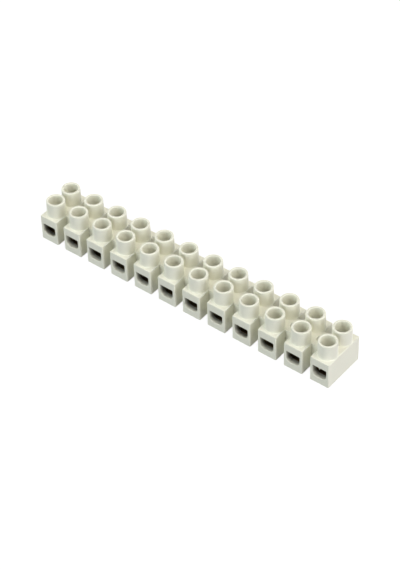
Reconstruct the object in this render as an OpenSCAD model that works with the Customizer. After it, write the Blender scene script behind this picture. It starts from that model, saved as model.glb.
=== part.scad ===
// Pillar-terminal connector strip: one moulded housing, a brass insert in each pole
// and two clamping screws for each insert, one in each screw tower.
// Origin: middle of the base. +X runs along the row of poles, -Y is the front, +Z is up.

/* [Row of poles] */
// Number of poles in the row
poles = 12; // [2:1:12]
// Distance from one pole to the next
pitch = 14.5; // [13:0.1:17]

/* [Cell] */
// Width of one cell along the row
cell_w = 10.2; // [9.8:0.1:11]
// Depth of a cell, front face to rear face
cell_d = 23.5; // [22.5:0.1:27]
// Height of a cell above the base
cell_h = 14; // [13.4:0.1:16]
// Radius on the cell's upright corners
corner_r = 0.5; // [0.3:0.05:1]
// Radius on the cell's top edges
edge_r = 0.5; // [0.3:0.05:0.9]

/* [Web between cells] */
// Thickness of the web, front to rear
web_t = 9.5; // [8:0.1:12]
// How far the web's top lies below the cell's top
web_drop = 0; // [0:0.1:3]
// Radius of the fixing hole through the web
fix_r = 2.3; // [1.6:0.05:2.4]

/* [Screw tower] */
// Height of a tower above the cell's top
tower_h = 8; // [6:0.1:10]
// Radius of the tower's bore
tower_bore_r = 3.5; // [3.4:0.05:3.6]
// Thickness of the wall at the rim
tower_t = 1.05; // [0.8:0.05:1.2]
// How far the tower's foot stays inside the sides of the cell
tower_inset = 0.4; // [0.1:0.05:0.5]
// Distance of the tower's axis from the cell's end face
tower_setback = 6.25; // [6:0.05:6.8]
// Rounding of the rim, inside and outside
rim_r = 0.3; // [0.1:0.05:0.3]

/* [Wire entry] */
// Width of the wire entry
entry_w = 7.3; // [6.4:0.1:7.4]
// Height of the wire entry
entry_h = 6; // [5.6:0.1:6.2]
// Height of the entry's sill above the base
entry_z = 3.6; // [3.4:0.1:4]
// Radius of the entry's two upper corners
entry_top_r = 0.5; // [0.3:0.1:1]
// Radius of the entry's two lower corners
entry_foot_r = 2.5; // [1:0.1:2.6]
// Depth of the entry, from the face to the end of the insert
entry_t = 3; // [2.4:0.1:4]
// Height of the pointed tooth in the ceiling of the last pole's front entry
tooth_h = 1.3; // [0.4:0.1:1.5]
// Width of the tooth at its root
tooth_w = 0.9; // [0.6:0.1:1.6]
// Length of the tooth into the entry
tooth_l = 0.8; // [0.6:0.1:2]

/* [Brass insert] */
// How much wider than the wire entry the insert is on each side, so that it stays in
insert_lip = 0.15; // [0.1:0.05:0.3]
// Thickness of the insert's side walls
insert_side_t = 1.05; // [0.8:0.05:1.2]
// Thickness of the insert's floor
insert_floor_t = 1.2; // [1:0.05:1.4]
// Thickness of the threaded wall above the wire
insert_top_t = 1.8; // [1.5:0.1:2]
// Height of the wire passage through the insert
passage_h = 4.9; // [4.6:0.1:5]
// Radius on the insert's outer corners
insert_r = 0.6; // [0.3:0.05:0.8]
// Radius on the wire passage's corners
passage_r = 0.5; // [0.2:0.05:0.8]
// Gap between the insert and each side of its chamber
insert_gap = 0.1; // [0.05:0.05:0.2]

/* [Clamping screw] */
// Radius of the screw's shank
shank_r = 2; // [1.5:0.05:2.2]
// Running gap between the shank and its threaded hole
thread_gap = 0.05; // [0.02:0.01:0.08]
// Length of the shank under the head
shank_l = 5; // [4.6:0.1:5.2]
// Radius of the head
head_r = 3.3; // [3:0.05:3.35]
// Height of the head
head_h = 1.6; // [1.4:0.1:2.2]
// Width of the driver slot
slot_w = 1; // [0.8:0.05:1.2]
// Depth of the driver slot
slot_h = 0.9; // [0.6:0.05:1.1]
// Chamfer on the head's top edge and on the screw's tip
screw_c = 0.3; // [0.1:0.05:0.5]
// Height of the screw's tip above the wire passage when the pole is open
tip_clear = 0.05; // [0.05:0.05:0.3]

/* [Hidden] */
$fn = 48;
eps = 0.01;

row_x = [for (i = [0:poles - 1]) (i - (poles - 1) / 2) * pitch];
sides = [["front", -1], ["rear", 1]];
function number(i) = str(i < 9 ? "0" : "", i + 1);
insert_names = [for (i = [0:poles - 1]) str("insert_", number(i))];
function screw_name(side, i) = str("screw_", side[0], "_", number(i));

row_l = (poles - 1) * pitch + cell_w;
web_h = cell_h - web_drop;
tower_top = cell_h + tower_h;
tower_r_top = tower_bore_r + tower_t;
tower_r_foot = cell_w / 2 - tower_inset;
tower_y = cell_d / 2 - tower_setback;
entry_top = entry_z + entry_h;
insert_w = entry_w + 2 * insert_lip;
insert_l = cell_d - 2 * entry_t;
insert_z = entry_z - insert_floor_t;
passage_top = entry_z + passage_h;
insert_top = passage_top + insert_top_t;
insert_h = insert_top - insert_z;
chamber_w = insert_w + 2 * insert_gap;
chamber_l = insert_l + 2 * insert_gap;
chamber_h = insert_h + insert_gap;
passage_w = insert_w - 2 * insert_side_t;
tip_z = passage_top + tip_clear;

// A rectangle with rounded corners, centred on the origin
module rounded_rect(w, h, r) {
    for (x = [-1, 1], y = [-1, 1])
        translate([x * (w / 2 - r), y * (h / 2 - r)])
            circle(r);
    square([w, h - 2 * r], center = true);
    square([w - 2 * r, h], center = true);
}

// A rectangle that stands on the origin, with only its top corners rounded
module rounded_top_rect(w, h, r) {
    for (x = [-1, 1])
        translate([x * (w / 2 - r), h - r])
            circle(r);
    translate([-w / 2, 0])
        square([w, h - r]);
    translate([-w / 2 + r, 0])
        square([w - 2 * r, h]);
}

// A wire entry's outline, standing on the origin: wide corners below, small ones above
module entry_outline() {
    for (x = [-1, 1]) {
        translate([x * (entry_w / 2 - entry_foot_r), entry_foot_r])
            circle(entry_foot_r);
        translate([x * (entry_w / 2 - entry_top_r), entry_h - entry_top_r])
            circle(entry_top_r);
    }
    translate([-entry_w / 2, entry_foot_r])
        square([entry_w, entry_h - entry_foot_r - entry_top_r]);
    translate([-entry_w / 2 + entry_top_r, entry_foot_r])
        square([entry_w - 2 * entry_top_r, entry_h - entry_foot_r]);
    translate([-entry_w / 2 + entry_foot_r, 0])
        square([entry_w - 2 * entry_foot_r, entry_h]);
}

// The prism of a front view, l long from front to rear and centred on Y
module along_y(l) {
    rotate([90, 0, 0])
        translate([0, 0, -l / 2])
            linear_extrude(l)
                children();
}

// The prism of a side view, l long along the row and centred on X
module along_x(l) {
    rotate([90, 0, 90])
        translate([0, 0, -l / 2])
            linear_extrude(l)
                children();
}

// The blocks of all cells, rounded on the upright corners and along every top edge
module cell_blocks() {
    intersection() {
        linear_extrude(cell_h)
            for (x = row_x)
                translate([x, 0])
                    rounded_rect(cell_w, cell_d, corner_r);
        along_y(cell_d)
            for (x = row_x)
                translate([x, 0])
                    rounded_top_rect(cell_w, cell_h, edge_r);
        along_x(row_l)
            rounded_top_rect(cell_d, cell_h, edge_r);
    }
}

// The webs that join the cells, one block behind the gaps
module webs() {
    translate([-row_l / 2 + cell_w / 2, -web_t / 2, 0])
        cube([row_l - cell_w, web_t, web_h]);
}

// Half the section of a tower's wall: tapered outside, rounded over at the rim
module tower_section() {
    foot_z = -edge_r - eps;
    polygon([
        [tower_bore_r, foot_z],
        [tower_r_foot, foot_z],
        [tower_r_foot, 0],
        [tower_r_top, tower_h - rim_r],
        [tower_r_top - rim_r, tower_h],
        [tower_bore_r + rim_r, tower_h],
        [tower_bore_r, tower_h - rim_r]
    ]);
    for (r = [tower_bore_r + rim_r, tower_r_top - rim_r])
        translate([r, tower_h - rim_r])
            circle(rim_r);
}

module at_towers() {
    for (x = row_x, side = sides)
        translate([x, side[1] * tower_y, cell_h])
            children();
}

module housing() {
    color("ivory") {
        difference() {
            union() {
                cell_blocks();
                webs();
                at_towers()
                    rotate_extrude()
                        tower_section();
            }
            at_towers()
                translate([0, 0, insert_top - cell_h])
                    cylinder(r = tower_bore_r, h = tower_top - rim_r - insert_top);
            for (x = row_x)
                translate([x, 0, 0]) {
                    insert_chamber();
                    wire_entries();
                }
            for (i = [0:poles - 2])
                translate([row_x[i] + pitch / 2, 0, -eps])
                    cylinder(r = fix_r, h = web_h + 2 * eps);
        }
        translate([row_x[poles - 1], 0, 0])
            tooth();
    }
}

// The chamber that holds the insert: it stands on the chamber's floor
module insert_chamber() {
    translate([0, 0, insert_z + chamber_h / 2])
        along_y(chamber_l)
            rounded_rect(chamber_w, chamber_h, insert_r);
}

// The entries at both ends
module wire_entries() {
    translate([0, 0, entry_z])
        along_y(cell_d + 2 * eps)
            entry_outline();
}

// The pointed tooth in an entry's ceiling, against the front face
module tooth() {
    translate([0, (tooth_l - cell_d) / 2, entry_top])
        along_y(tooth_l)
            polygon([[-tooth_w / 2, eps], [tooth_w / 2, eps], [0, -tooth_h]]);
}

module insert(i) {
    color("goldenrod")
        translate([row_x[i], 0, 0])
            difference() {
                translate([0, 0, insert_z + insert_h / 2])
                    along_y(insert_l)
                        rounded_rect(insert_w, insert_h, insert_r);
                translate([0, 0, entry_z + passage_h / 2])
                    along_y(insert_l + 2 * eps)
                        rounded_rect(passage_w, passage_h, passage_r);
                for (side = sides)
                    translate([0, side[1] * tower_y, passage_top - passage_r])
                        cylinder(r = shank_r + thread_gap, h = insert_top_t + passage_r + eps);
            }
}

// A slotted screw with a reduced cheese head, backed out so that the passage is free
module screw(side, i) {
    color("silver")
        translate([row_x[i], side[1] * tower_y, tip_z])
            difference() {
                rotate_extrude()
                    polygon([
                        [0, 0],
                        [shank_r - screw_c, 0],
                        [shank_r, screw_c],
                        [shank_r, shank_l],
                        [head_r, shank_l],
                        [head_r, shank_l + head_h - screw_c],
                        [head_r - screw_c, shank_l + head_h],
                        [0, shank_l + head_h]
                    ]);
                translate([-head_r - eps, -slot_w / 2, shank_l + head_h - slot_h])
                    cube([2 * head_r + 2 * eps, slot_w, slot_h + eps]);
            }
}

housing();
for (i = [0:poles - 1]) insert(i);
for (side = sides, i = [0:poles - 1]) screw(side, i);
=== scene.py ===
"""Dresses a packed pillar terminal strip and sets it in a plain studio.

The pieces are one moulded housing, a brass insert in each pole and two slotted clamping
screws for each insert, one in each screw tower.
"""

import math

import bmesh
import bpy
from bpy.props import FloatProperty, FloatVectorProperty, IntProperty, PointerProperty
from mathutils import Matrix, Vector


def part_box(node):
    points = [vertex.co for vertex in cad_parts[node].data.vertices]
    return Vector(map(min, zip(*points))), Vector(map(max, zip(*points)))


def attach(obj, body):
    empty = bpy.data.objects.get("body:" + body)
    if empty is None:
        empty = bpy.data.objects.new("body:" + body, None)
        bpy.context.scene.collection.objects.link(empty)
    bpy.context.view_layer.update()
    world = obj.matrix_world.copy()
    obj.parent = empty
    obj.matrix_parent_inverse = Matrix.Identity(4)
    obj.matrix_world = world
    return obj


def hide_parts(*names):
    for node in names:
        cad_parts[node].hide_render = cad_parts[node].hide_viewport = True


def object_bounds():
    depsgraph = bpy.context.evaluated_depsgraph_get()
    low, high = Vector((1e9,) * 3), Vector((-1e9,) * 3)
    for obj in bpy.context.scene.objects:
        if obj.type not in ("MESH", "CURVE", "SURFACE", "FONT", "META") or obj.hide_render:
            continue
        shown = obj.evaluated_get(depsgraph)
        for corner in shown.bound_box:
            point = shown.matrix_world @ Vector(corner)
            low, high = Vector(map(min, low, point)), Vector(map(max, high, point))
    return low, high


bl_info = {
    "name": "Pillar Terminal Strip",
    "version": (1, 0, 0),
    "blender": (4, 5, 0),
    "location": "View3D > Sidebar > Terminal Strip",
    "description": "Makes the finished pieces of a packed pillar terminal strip",
    "category": "Object",
}

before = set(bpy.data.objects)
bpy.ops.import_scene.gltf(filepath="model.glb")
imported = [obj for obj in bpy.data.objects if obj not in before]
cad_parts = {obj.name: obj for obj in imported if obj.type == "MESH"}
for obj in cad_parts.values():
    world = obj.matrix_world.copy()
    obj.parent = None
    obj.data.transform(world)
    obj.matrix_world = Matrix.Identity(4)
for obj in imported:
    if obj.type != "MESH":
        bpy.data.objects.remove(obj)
CAD_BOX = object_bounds()

MM = 0.001
STRIP_BODY = "strip"
HOUSING = "housing"
INSERTS = sorted(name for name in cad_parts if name.startswith("insert_"))
SCREWS = sorted(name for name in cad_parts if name.startswith("screw_"))

# the cells: heights are above the base, halves are distances from the cell's middle
FACE_Y = CAD_BOX[1].y
PITCH = 14.5 * MM
CELL_TOP = 14.0 * MM
CELL_HALF = 5.1 * MM
CELL_EDGE = 0.5 * MM
WEB_HALF = 4.75 * MM
# the share of a cell's rounded edge that the fillets follow
EDGE_SHARE = 0.98

# the wire entries: the zone holds an entry and the chamber behind it, and bounds the shade
# painted inside the entries
ENTRY_DEPTH = 3.0 * MM
ENTRY_ZONE_HALF = 4.386 * MM
ENTRY_ZONE_MIDDLE = 6.5 * MM
ENTRY_ZONE_REACH = 4.8 * MM
MOUTH_LOW = 1.0 * MM
# the share of an entry's depth that is free of painted shade; deeper in, shade is painted
# into the plastic's colour
PAINTED_SHADE_START = 0.12

# the towers: radii, and heights above the cell's top
TOWER_FOOT = 4.7 * MM
TOWER_RIM = 4.55 * MM
TOWER_WALL = 7.7 * MM
TOWER_BORE = 3.5 * MM
BORE_LOW = -3.5 * MM

# the screws
SHANK = 2.0 * MM
HEAD_H = 1.6 * MM
# half of the thread's width at its core, as a share of its pitch
THREAD_HALF = 0.42

# joins and gaps that are too small to see
WELD = 0.002 * MM
NEAR = 0.01 * MM
BURIED = 0.015 * MM
SKIN = 0.015 * MM
FLOOR_GAP = 0.03 * MM

FULL_TURN = math.radians(360)
QUARTER_TURN = math.radians(90)
FLAT_ANGLE = math.radians(0.4)
ROUNDED_ANGLE = math.radians(28)
SHARP_ANGLE = math.radians(50)
FINE_SEGMENTS = 2
TOWER_STEPS = 96
FLOOR_STEPS = 96

WHITE = (1.0, 1.0, 1.0, 1.0)
# colour of the shade painted deep inside the wire entries, standing in for their shadow
PAINTED_SHADE_COLOUR = (0.06, 0.055, 0.04, 1.0)
PLATING_SHADE = 0.8
AIM = Vector((0.0, -0.000166, 0.01015))
SENSOR = 36.0
NEAREST = 0.01
FARTHEST = 50.0


# ---------------------------------------------------------------- settings


class HousingSettings(bpy.types.PropertyGroup):
    """Edges and plastic of the one-piece moulded housing."""

    mouth_radius: FloatProperty(
        name="Mouth radius",
        description="Rounding of the wire entries' edges",
        default=0.3 * MM,
        min=0.0,
        unit="LENGTH",
    )
    edge_radius: FloatProperty(
        name="Edge radius",
        description="Rounding of the base's edges and of the fixing holes' rims",
        default=0.15 * MM,
        min=0.0,
        unit="LENGTH",
    )
    edge_segments: IntProperty(
        name="Edge segments",
        description="Faces across each rounded edge",
        default=3,
        min=1,
        max=4,
    )
    fillet: FloatProperty(
        name="Tower fillet",
        description="Radius of the hollow fillet at each tower's foot",
        default=0.35 * MM,
        min=0.1 * MM,
        max=0.38 * MM,
        unit="LENGTH",
    )
    plastic: FloatVectorProperty(
        name="Plastic",
        description="Colour of the ivory plastic",
        default=(0.873, 0.865, 0.75),
        min=0.0,
        max=1.0,
        subtype="COLOR",
    )
    plastic_shade: FloatVectorProperty(
        name="Plastic shade",
        description="Slightly deeper colour in the plastic's flow marks",
        default=(0.853, 0.84, 0.71),
        min=0.0,
        max=1.0,
        subtype="COLOR",
    )
    # painted shade: how much of the plastic's colour is darkened deep in the wire entries,
    # standing in for their shadow
    painted_shade: FloatProperty(
        name="Painted entry shade",
        description="Share of the plastic's colour that is lost deep in the entries",
        default=0.8,
        min=0.0,
        max=1.0,
        subtype="FACTOR",
    )


class InsertSettings(bpy.types.PropertyGroup):
    """Edges and metal of the brass inserts."""

    edge_radius: FloatProperty(
        name="Edge radius",
        description="Rounding of the insert's edges",
        default=0.12 * MM,
        min=0.0,
        unit="LENGTH",
    )
    brass: FloatVectorProperty(
        name="Brass",
        description="Colour of the clean brass",
        default=(0.19, 0.125, 0.05),
        min=0.0,
        max=1.0,
        subtype="COLOR",
    )
    tarnish: FloatVectorProperty(
        name="Tarnish",
        description="Colour of the tarnished brass",
        default=(0.035, 0.026, 0.017),
        min=0.0,
        max=1.0,
        subtype="COLOR",
    )


class ScrewSettings(bpy.types.PropertyGroup):
    """Thread, edges and plating of the clamping screws."""

    edge_radius: FloatProperty(
        name="Edge radius",
        description="Rounding of the head's and the slot's edges",
        default=0.1 * MM,
        min=0.0,
        unit="LENGTH",
    )
    thread_pitch: FloatProperty(
        name="Thread pitch",
        description="Rise of the thread in one turn",
        default=0.7 * MM,
        min=0.3 * MM,
        unit="LENGTH",
    )
    thread_depth: FloatProperty(
        name="Thread depth",
        description="Height of the thread above its core",
        default=0.38 * MM,
        min=0.1 * MM,
        unit="LENGTH",
    )
    thread_steps: IntProperty(
        name="Thread steps",
        description="Steps of the thread in one turn",
        default=20,
        min=12,
        max=48,
    )
    steel: FloatVectorProperty(
        name="Plated steel",
        description="Colour of the bright zinc plating",
        default=(0.62, 0.62, 0.6),
        min=0.0,
        max=1.0,
        subtype="COLOR",
    )


class StageSettings(bpy.types.PropertyGroup):
    """Floor, light and camera."""

    floor: FloatVectorProperty(
        name="Floor",
        description="Colour that the floor casts back on the strip",
        default=(0.2, 0.2, 0.2),
        min=0.0,
        max=1.0,
        subtype="COLOR",
    )
    backdrop: FloatProperty(
        name="Backdrop",
        description="White added to the floor, for the camera and reflections only",
        default=0.9,
        min=0.0,
        max=1.0,
    )
    floor_radius: FloatProperty(
        name="Floor radius",
        description="Radius of the round floor",
        default=4.0,
        min=0.5,
        unit="LENGTH",
    )
    sky: FloatProperty(
        name="Sky light",
        description="Strength of the even light from all sides",
        default=0.02,
        min=0.0,
    )
    softness: FloatProperty(
        name="Softness",
        description="Angle that each lamp fills, seen from the strip",
        default=math.radians(40),
        min=0.0,
        max=math.radians(90),
        subtype="ANGLE",
    )
    right_low: FloatProperty(
        name="Low right lamp",
        description="Strength of the lamp that faces the row's right end",
        default=1.85,
        min=0.0,
    )
    right_high: FloatProperty(
        name="High right lamp",
        description="Strength of the lamp above the row's right end",
        default=1.3,
        min=0.0,
    )
    top: FloatProperty(
        name="Top lamp",
        description="Strength of the lamp straight above the row",
        default=0.55,
        min=0.0,
    )
    front: FloatProperty(
        name="Front lamp",
        description="Strength of the lamp in front of the row",
        default=1.55,
        min=0.0,
    )
    left: FloatProperty(
        name="Left lamp",
        description="Strength of the lamp beyond the row's left end",
        default=0.8,
        min=0.0,
    )
    rear: FloatProperty(
        name="Rear lamp",
        description="Strength of the lamp behind the row",
        default=0.85,
        min=0.0,
    )
    azimuth: FloatProperty(
        name="Azimuth",
        description="Direction of the camera, from the front towards the right end",
        default=math.radians(39.7957),
        subtype="ANGLE",
    )
    elevation: FloatProperty(
        name="Elevation",
        description="Height of the camera above the horizon",
        default=math.radians(42.645),
        subtype="ANGLE",
    )
    roll: FloatProperty(
        name="Roll",
        description="Tilt of the camera about its line of sight",
        default=math.radians(-2.0361),
        subtype="ANGLE",
    )
    distance: FloatProperty(
        name="Distance",
        description="Distance from the camera to the point that it looks at",
        default=0.8905,
        min=0.1,
        unit="LENGTH",
    )
    lens: FloatProperty(
        name="Lens",
        description="Focal length of the camera",
        default=121.24,
        min=10.0,
        unit="CAMERA",
    )
    shift_x: FloatProperty(
        name="Shift right",
        description="Sideways shift of the lens",
        default=0.010647,
    )
    shift_y: FloatProperty(
        name="Shift up",
        description="Upward shift of the lens",
        default=-0.009028,
    )


class StripSettings(bpy.types.PropertyGroup):
    """All settings of the terminal strip."""

    housing: PointerProperty(type=HousingSettings)
    insert: PointerProperty(type=InsertSettings)
    screw: PointerProperty(type=ScrewSettings)
    stage: PointerProperty(type=StageSettings)


# ---------------------------------------------------------------- meshes


def welded_copy(node):
    """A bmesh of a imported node, its loose triangles joined and its flat faces whole."""
    bm = bmesh.new()
    bm.from_mesh(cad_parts[node].data)
    bmesh.ops.remove_doubles(bm, verts=bm.verts, dist=WELD)
    bmesh.ops.dissolve_limit(
        bm, angle_limit=FLAT_ANGLE, verts=bm.verts, edges=bm.edges, delimit=set()
    )
    return bm


def creases(bm, chosen=lambda place: True):
    """The edges whose faces meet at an angle, where both ends lie in a chosen place."""
    return [
        edge
        for edge in bm.edges
        if edge.is_manifold
        and edge.calc_face_angle() > ROUNDED_ANGLE
        and all(chosen(vert.co) for vert in edge.verts)
    ]


def round_edges(bm, edges, radius, segments):
    """Rounds edges with real geometry."""
    bmesh.ops.bevel(
        bm,
        geom=edges,
        offset=radius,
        offset_type="OFFSET",
        segments=segments,
        profile=0.5,
        affect="EDGES",
        material=-1,
        clamp_overlap=False,
        loop_slide=False,
    )
    bmesh.ops.remove_doubles(bm, verts=bm.verts, dist=WELD)


def add_shell(bm, shell):
    """Adds a second closed shell to a bmesh, facing outwards."""
    bmesh.ops.recalc_face_normals(shell, faces=shell.faces)
    mesh = bpy.data.meshes.new("shell")
    shell.to_mesh(mesh)
    shell.free()
    bm.from_mesh(mesh)
    bpy.data.meshes.remove(mesh)


def add_piece(bm, name, nodes, body, material):
    """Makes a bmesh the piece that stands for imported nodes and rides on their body."""
    bmesh.ops.recalc_face_normals(bm, faces=bm.faces)
    mesh = bpy.data.meshes.new(name)
    bm.to_mesh(mesh)
    bm.free()
    mesh.shade_smooth()
    mesh.set_sharp_from_angle(angle=SHARP_ANGLE)
    mesh.materials.append(material)
    piece = bpy.data.objects.new(name, mesh)
    bpy.context.scene.collection.objects.link(piece)
    shading = piece.modifiers.new("Even shading", "WEIGHTED_NORMAL")
    shading.keep_sharp = True
    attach(piece, body)
    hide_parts(*nodes)
    return piece


# ---------------------------------------------------------------- materials


def new_material(name):
    """An empty material and its Principled shader."""
    material = bpy.data.materials.new(name)
    material.use_nodes = True
    return material, material.node_tree.nodes["Principled BSDF"]


def math_node(tree, operation, *values):
    """A math node's output, from sockets and numbers."""
    node = tree.nodes.new("ShaderNodeMath")
    node.operation = operation
    for socket, value in zip(node.inputs, values):
        if isinstance(value, bpy.types.NodeSocket):
            tree.links.new(value, socket)
        else:
            socket.default_value = value
    return node.outputs["Value"]


def surface_group():
    """A node group of fine grain and broad mottling that the materials share."""
    found = bpy.data.node_groups.get("Fine surface")
    if found:
        return found
    group = bpy.data.node_groups.new("Fine surface", "ShaderNodeTree")
    face = group.interface
    for name, kind, default in (
        ("Colour", "NodeSocketColor", (0.8, 0.8, 0.8, 1.0)),
        ("Shade", "NodeSocketColor", (0.7, 0.7, 0.7, 1.0)),
        ("Mottle scale", "NodeSocketFloat", 60.0),
        ("Grain scale", "NodeSocketFloat", 3000.0),
        ("Roughness", "NodeSocketFloat", 0.4),
        ("Roughness spread", "NodeSocketFloat", 0.1),
    ):
        face.new_socket(
            name=name, in_out="INPUT", socket_type=kind
        ).default_value = default
    for name, kind in (
        ("Colour", "NodeSocketColor"),
        ("Roughness", "NodeSocketFloat"),
        ("Height", "NodeSocketFloat"),
    ):
        face.new_socket(name=name, in_out="OUTPUT", socket_type=kind)
    nodes, links = group.nodes, group.links
    given = nodes.new("NodeGroupInput")
    out = nodes.new("NodeGroupOutput")
    place = nodes.new("ShaderNodeTexCoord")
    mottle = nodes.new("ShaderNodeTexNoise")
    mottle.inputs["Detail"].default_value = 4.0
    grain = nodes.new("ShaderNodeTexNoise")
    grain.inputs["Detail"].default_value = 2.0
    blend = nodes.new("ShaderNodeMix")
    blend.data_type = "RGBA"
    for texture, scale in ((mottle, "Mottle scale"), (grain, "Grain scale")):
        links.new(place.outputs["Object"], texture.inputs["Vector"])
        links.new(given.outputs[scale], texture.inputs["Scale"])
    links.new(mottle.outputs["Fac"], blend.inputs["Factor"])
    links.new(given.outputs["Colour"], blend.inputs["A"])
    links.new(given.outputs["Shade"], blend.inputs["B"])
    links.new(blend.outputs["Result"], out.inputs["Colour"])
    roughness = math_node(
        group,
        "MULTIPLY_ADD",
        mottle.outputs["Fac"],
        given.outputs["Roughness spread"],
        given.outputs["Roughness"],
    )
    links.new(roughness, out.inputs["Roughness"])
    links.new(grain.outputs["Fac"], out.inputs["Height"])
    return group


def dress(material, shader, values, bump_height):
    """Feeds a shader from the shared surface group, with a bump of a real height."""
    nodes, links = material.node_tree.nodes, material.node_tree.links
    surface = nodes.new("ShaderNodeGroup")
    surface.node_tree = surface_group()
    for name, value in values.items():
        surface.inputs[name].default_value = value
    bump = nodes.new("ShaderNodeBump")
    bump.inputs["Strength"].default_value = 1.0
    bump.inputs["Distance"].default_value = bump_height
    links.new(surface.outputs["Colour"], shader.inputs["Base Color"])
    links.new(surface.outputs["Roughness"], shader.inputs["Roughness"])
    links.new(surface.outputs["Height"], bump.inputs["Height"])
    links.new(bump.outputs["Normal"], shader.inputs["Normal"])


def add_painted_entry_shade(material, shader, painted_shade):
    """Paints shade into the plastic inside the wire entries, darker and darker with the
    depth, standing in for their shadow.
    """
    tree = material.node_tree
    place = tree.nodes.new("ShaderNodeTexCoord")
    axes = tree.nodes.new("ShaderNodeSeparateXYZ")
    tree.links.new(place.outputs["Object"], axes.inputs["Vector"])
    x, y, z = (axes.outputs[name] for name in "XYZ")
    shifted = math_node(tree, "ADD", x, PITCH / 2)
    across = math_node(tree, "WRAP", shifted, PITCH / 2, -PITCH / 2)
    in_width = math_node(tree, "COMPARE", across, 0.0, ENTRY_ZONE_HALF)
    in_height = math_node(tree, "COMPARE", z, ENTRY_ZONE_MIDDLE, ENTRY_ZONE_REACH)
    inside = math_node(tree, "MULTIPLY", in_width, in_height)
    depth = math_node(tree, "SUBTRACT", FACE_Y, math_node(tree, "ABSOLUTE", y))
    ramp = tree.nodes.new("ShaderNodeMapRange")
    ramp.interpolation_type = "SMOOTHSTEP"
    ramp.inputs["From Min"].default_value = PAINTED_SHADE_START * ENTRY_DEPTH
    ramp.inputs["From Max"].default_value = ENTRY_DEPTH
    ramp.inputs["To Max"].default_value = painted_shade
    tree.links.new(depth, ramp.inputs["Value"])
    blend = tree.nodes.new("ShaderNodeMix")
    blend.data_type = "RGBA"
    tree.links.new(
        math_node(tree, "MULTIPLY", inside, ramp.outputs["Result"]),
        blend.inputs["Factor"],
    )
    tree.links.new(shader.inputs["Base Color"].links[0].from_socket, blend.inputs["A"])
    # the colour of the painted shade
    blend.inputs["B"].default_value = PAINTED_SHADE_COLOUR
    tree.links.new(blend.outputs["Result"], shader.inputs["Base Color"])


def ivory_plastic(settings):
    """Soft ivory plastic with a fine moulded grain."""
    material, shader = new_material("Ivory plastic")
    dress(
        material,
        shader,
        {
            "Colour": (*settings.plastic, 1.0),
            "Shade": (*settings.plastic_shade, 1.0),
            "Mottle scale": 70.0,
            "Grain scale": 3500.0,
            "Roughness": 0.4,
            "Roughness spread": 0.12,
        },
        bump_height=0.006 * MM,
    )
    # paints shade deep inside the wire entries
    add_painted_entry_shade(material, shader, settings.painted_shade)
    shader.inputs["IOR"].default_value = 1.5
    return material


def turned_brass(settings):
    """Brass with patches of tarnish."""
    material, shader = new_material("Brass")
    dress(
        material,
        shader,
        {
            "Colour": (*settings.brass, 1.0),
            "Shade": (*settings.tarnish, 1.0),
            "Mottle scale": 260.0,
            "Grain scale": 6000.0,
            "Roughness": 0.28,
            "Roughness spread": 0.2,
        },
        bump_height=0.004 * MM,
    )
    shader.inputs["Metallic"].default_value = 1.0
    return material


def plated_steel(settings):
    """Zinc-plated steel."""
    material, shader = new_material("Plated steel")
    dress(
        material,
        shader,
        {
            "Colour": (*settings.steel, 1.0),
            "Shade": (*(PLATING_SHADE * value for value in settings.steel), 1.0),
            "Mottle scale": 400.0,
            "Grain scale": 7000.0,
            "Roughness": 0.24,
            "Roughness spread": 0.16,
        },
        bump_height=0.004 * MM,
    )
    shader.inputs["Metallic"].default_value = 1.0
    return material


# ---------------------------------------------------------------- pieces


def axis_of(node, height):
    """The point on a packed screw's axis at a height."""
    low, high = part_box(node)
    return Vector(((low[0] + high[0]) / 2, (low[1] + high[1]) / 2, height))


TOWERS = [axis_of(node, CELL_TOP) for node in SCREWS]


def on_base(place):
    """Whether a place is on the strip's base."""
    return place.z < NEAR


def on_mouth(place):
    """Whether a place is in the front or rear face and above the base."""
    return abs(abs(place.y) - FACE_Y) < NEAR and place.z > MOUTH_LOW


def on_web_top(place):
    """Whether a place is level with the cells' top and away from the towers."""
    return abs(place.z - CELL_TOP) < NEAR and all(
        (place - axis).length > TOWER_FOOT + NEAR for axis in TOWERS
    )


def cell_drop(across, along):
    """How far a cell's rounded top drops, at offsets across and along the cell."""
    if abs(along) < WEB_HALF:
        return 0.0
    over = min(max(abs(across) - (CELL_HALF - CELL_EDGE), 0.0), EDGE_SHARE * CELL_EDGE)
    return CELL_EDGE - math.sqrt(CELL_EDGE**2 - over**2)


def add_tower_skin(bm, axis, radius, segments):
    """A thin skin on a tower's wall and bore, with a hollow fillet at the tower's foot.

    The fillet follows the cell's rounded edge at the sides.
    """
    section = [
        (TOWER_FOOT + radius, -BURIED),
        (TOWER_FOOT - radius, -CELL_EDGE),
        (TOWER_BORE + SKIN, BORE_LOW),
        (TOWER_BORE - SKIN, BORE_LOW),
        (TOWER_BORE - SKIN, TOWER_WALL),
        (TOWER_RIM + SKIN, TOWER_WALL),
    ]
    for segment in range(segments):
        turn = QUARTER_TURN * segment / segments
        out = TOWER_FOOT + SKIN + radius * (1 - math.cos(turn))
        section.append((out, radius * (1 - math.sin(turn))))
    ring = bmesh.new()
    verts = [ring.verts.new(axis + Vector((out, 0.0, up))) for out, up in section]
    edges = [ring.edges.new(ends) for ends in zip(verts, verts[1:] + verts[:1])]
    bmesh.ops.spin(
        ring,
        geom=verts + edges,
        cent=axis,
        axis=(0.0, 0.0, 1.0),
        angle=FULL_TURN,
        steps=TOWER_STEPS,
        use_merge=True,
    )
    for vert in ring.verts:
        if vert.co.z < CELL_TOP + radius + NEAR:
            vert.co.z -= cell_drop(vert.co.x - axis.x, vert.co.y)
    add_shell(bm, ring)


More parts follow.
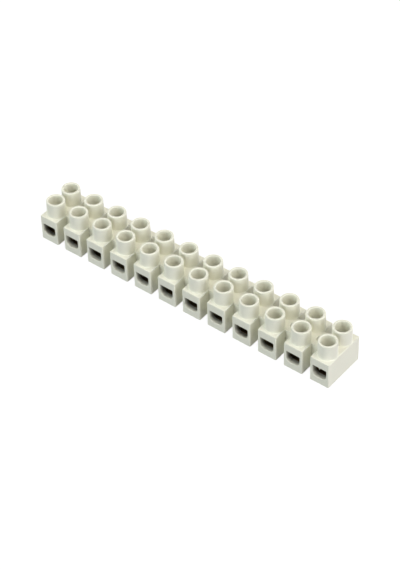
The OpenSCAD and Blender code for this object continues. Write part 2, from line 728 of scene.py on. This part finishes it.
class STRIP_OT_housing(bpy.types.Operator):
    """Makes the one-piece moulded housing"""

    bl_idname = "strip.housing"
    bl_label = "Housing"

    def execute(self, context):
        settings = context.scene.strip.housing
        bm = welded_copy(HOUSING)
        for chosen, radius in (
            (on_mouth, settings.mouth_radius),
            (on_base, settings.edge_radius),
            (on_web_top, settings.edge_radius),
        ):
            round_edges(bm, creases(bm, chosen), radius, settings.edge_segments)
        for axis in TOWERS:
            add_tower_skin(bm, axis, settings.fillet, 2 * settings.edge_segments)
        add_piece(
            bm,
            "moulded_housing",
            [HOUSING],
            STRIP_BODY,
            ivory_plastic(settings),
        )
        return {"FINISHED"}


class STRIP_OT_inserts(bpy.types.Operator):
    """Makes the brass insert of every pole"""

    bl_idname = "strip.inserts"
    bl_label = "Brass inserts"

    def execute(self, context):
        settings = context.scene.strip.insert
        brass = turned_brass(settings)
        for node in INSERTS:
            bm = welded_copy(node)
            round_edges(bm, creases(bm), settings.edge_radius, FINE_SEGMENTS)
            add_piece(bm, f"brass_{node}", [node], STRIP_BODY, brass)
        return {"FINISHED"}


def thin_shank(bm, axis, neck, core):
    """Takes a screw's shank down to the core of its thread."""
    for vert in bm.verts:
        across = (vert.co - axis).to_2d()
        if vert.co.z < neck + NEAR and core < across.length < SHANK + NEAR:
            across = across.normalized() * core
            vert.co.xy = axis.xy + across


def add_thread(bm, axis, neck, settings):
    """A helical thread of pointed section, from a screw's tip to its head."""
    pitch, steps = settings.thread_pitch, settings.thread_steps
    core = SHANK - settings.thread_depth
    half = THREAD_HALF * pitch
    turns = math.floor(steps * (neck - axis.z - 2 * half) / pitch) / steps
    section = ((core - BURIED, -half), (SHANK, 0.0), (core - BURIED, half))
    coil = bmesh.new()
    start = axis + Vector((0.0, 0.0, half))
    verts = [coil.verts.new(start + Vector((out, 0.0, up))) for out, up in section]
    end = coil.faces.new(verts)
    bmesh.ops.spin(
        coil,
        geom=[*verts, *end.edges, end],
        cent=start,
        axis=(0.0, 0.0, 1.0),
        dvec=(0.0, 0.0, pitch / steps),
        angle=FULL_TURN * turns,
        steps=round(turns * steps),
    )
    add_shell(bm, coil)


class STRIP_OT_screws(bpy.types.Operator):
    """Makes the clamping screws, each with a helical thread"""

    bl_idname = "strip.screws"
    bl_label = "Clamping screws"

    def execute(self, context):
        settings = context.scene.strip.screw
        steel = plated_steel(settings)
        for node in SCREWS:
            bm = welded_copy(node)
            tip, top = (corner.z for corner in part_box(node))
            neck = top - HEAD_H
            axis = axis_of(node, tip)
            round_edges(
                bm,
                creases(bm, lambda place: place.z > neck - NEAR),
                settings.edge_radius,
                FINE_SEGMENTS,
            )
            thin_shank(bm, axis, neck, SHANK - settings.thread_depth)
            add_thread(bm, axis, neck, settings)
            add_piece(bm, f"slotted_{node}", [node], node, steel)
        return {"FINISHED"}


# ---------------------------------------------------------------- stage


# each lamp's azimuth and elevation in degrees, and its tint
LAMPS = (
    ("right_low", 90, 8, (0.9, 0.92, 1.0)),
    ("right_high", 90, 48, (1.0, 0.97, 0.9)),
    ("top", 0, 88, (1.0, 0.98, 0.94)),
    ("front", -20, 22, (0.91, 0.98, 1.0)),
    ("left", -90, 24, (0.98, 1.0, 0.97)),
    ("rear", 180, 12, (0.97, 1.0, 0.97)),
)


def seen_directly(tree):
    """A socket that is 1 for camera, reflected and refracted rays, and otherwise 0."""
    path = tree.nodes.new("ShaderNodeLightPath")
    found = path.outputs["Is Camera Ray"]
    for name in ("Is Glossy Ray", "Is Transmission Ray"):
        found = math_node(tree, "MAXIMUM", found, path.outputs[name])
    return found


def floor_material(settings):
    """A matt floor that looks white and keeps the strip's shadow."""
    material, shader = new_material("Floor")
    tree = material.node_tree
    shader.inputs["Base Color"].default_value = (*settings.floor, 1.0)
    shader.inputs["Roughness"].default_value = 0.9
    shader.inputs["Specular IOR Level"].default_value = 0.0
    shader.inputs["Emission Color"].default_value = WHITE
    glow = math_node(tree, "MULTIPLY", seen_directly(tree), settings.backdrop)
    tree.links.new(glow, shader.inputs["Emission Strength"])
    return material


def add_floor(settings):
    """A round floor just under the strip."""
    bm = bmesh.new()
    bmesh.ops.create_circle(
        bm,
        cap_ends=True,
        radius=settings.floor_radius,
        segments=FLOOR_STEPS,
        matrix=Matrix.Translation((0.0, 0.0, -FLOOR_GAP)),
    )
    mesh = bpy.data.meshes.new("floor")
    bm.to_mesh(mesh)
    bm.free()
    mesh.materials.append(floor_material(settings))
    floor = bpy.data.objects.new("floor", mesh)
    bpy.context.scene.collection.objects.link(floor)


def set_world(settings):
    """A weak even light, which the camera and reflections see as white."""
    world = bpy.data.worlds.new("Studio")
    world.use_nodes = True
    nodes, links = world.node_tree.nodes, world.node_tree.links
    sky = nodes["Background"]
    sky.inputs["Color"].default_value = WHITE
    sky.inputs["Strength"].default_value = settings.sky
    white = nodes.new("ShaderNodeBackground")
    white.inputs["Color"].default_value = WHITE
    white.inputs["Strength"].default_value = 1.0
    mix = nodes.new("ShaderNodeMixShader")
    links.new(seen_directly(world.node_tree), mix.inputs["Fac"])
    links.new(sky.outputs["Background"], mix.inputs[1])
    links.new(white.outputs["Background"], mix.inputs[2])
    links.new(mix.outputs["Shader"], nodes["World Output"].inputs["Surface"])
    bpy.context.scene.world = world


def towards(azimuth, elevation):
    """The direction at an elevation and an azimuth, from the front to the right end."""
    level = math.cos(elevation)
    return Vector(
        (
            math.sin(azimuth) * level,
            -math.cos(azimuth) * level,
            math.sin(elevation),
        )
    )


def add_lamp(settings, name, azimuth, elevation, tint):
    """A distant soft lamp, with the strength that the settings hold under its name."""
    data = bpy.data.lights.new(name, "SUN")
    data.angle = settings.softness
    data.energy = getattr(settings, name)
    data.color = tint
    lamp = bpy.data.objects.new(name, data)
    back = towards(math.radians(azimuth), math.radians(elevation))
    lamp.location = back
    lamp.rotation_mode = "QUATERNION"
    lamp.rotation_quaternion = back.to_track_quat("Z", "Y")
    bpy.context.scene.collection.objects.link(lamp)


def add_camera(settings):
    """The camera, on a ray from the point that it looks at."""
    a, e, r = settings.azimuth, settings.elevation, settings.roll
    back = towards(a, e)
    right = Vector((math.cos(a), math.sin(a), 0.0))
    up = back.cross(right)
    turned_right = math.cos(r) * right + math.sin(r) * up
    turned_up = math.cos(r) * up - math.sin(r) * right
    data = bpy.data.cameras.new("camera")
    data.lens = settings.lens
    data.sensor_width = SENSOR
    data.shift_x = settings.shift_x
    data.shift_y = settings.shift_y
    data.clip_start = NEAREST
    data.clip_end = FARTHEST
    camera = bpy.data.objects.new("camera", data)
    turn = Matrix((turned_right, turned_up, back)).transposed().to_4x4()
    camera.matrix_world = Matrix.Translation(AIM + back * settings.distance) @ turn
    bpy.context.scene.collection.objects.link(camera)
    bpy.context.scene.camera = camera


class STRIP_OT_stage(bpy.types.Operator):
    """Makes the floor, the light and the camera"""

    bl_idname = "strip.stage"
    bl_label = "Stage"

    def execute(self, context):
        settings = context.scene.strip.stage
        add_floor(settings)
        set_world(settings)
        for lamp in LAMPS:
            add_lamp(settings, *lamp)
        add_camera(settings)
        context.scene.view_settings.view_transform = "Standard"
        return {"FINISHED"}


class STRIP_PT_sidebar(bpy.types.Panel):
    """Lists the steps that build the strip"""

    bl_idname = "STRIP_PT_sidebar"
    bl_label = "Terminal Strip"
    bl_space_type = "VIEW_3D"
    bl_region_type = "UI"
    bl_category = "Terminal Strip"

    def draw(self, context):
        settings = context.scene.strip
        for operator, group in (
            (STRIP_OT_housing, settings.housing),
            (STRIP_OT_inserts, settings.insert),
            (STRIP_OT_screws, settings.screw),
            (STRIP_OT_stage, settings.stage),
        ):
            box = self.layout.box()
            for name in group.bl_rna.properties.keys():
                if name not in {"rna_type", "name"}:
                    box.prop(group, name)
            box.operator(operator.bl_idname)


CLASSES = (
    HousingSettings,
    InsertSettings,
    ScrewSettings,
    StageSettings,
    StripSettings,
    STRIP_OT_housing,
    STRIP_OT_inserts,
    STRIP_OT_screws,
    STRIP_OT_stage,
    STRIP_PT_sidebar,
)


def register():
    """Adds the settings, the operators and the panel."""
    for cls in CLASSES:
        bpy.utils.register_class(cls)
    bpy.types.Scene.strip = PointerProperty(type=StripSettings)


def unregister():
    """Takes them away again."""
    del bpy.types.Scene.strip
    for cls in reversed(CLASSES):
        bpy.utils.unregister_class(cls)


def main():
    """Builds every piece and the stage."""
    register()
    bpy.ops.strip.housing()
    bpy.ops.strip.inserts()
    bpy.ops.strip.screws()
    bpy.ops.strip.stage()


if __name__ == "__main__":
    main()
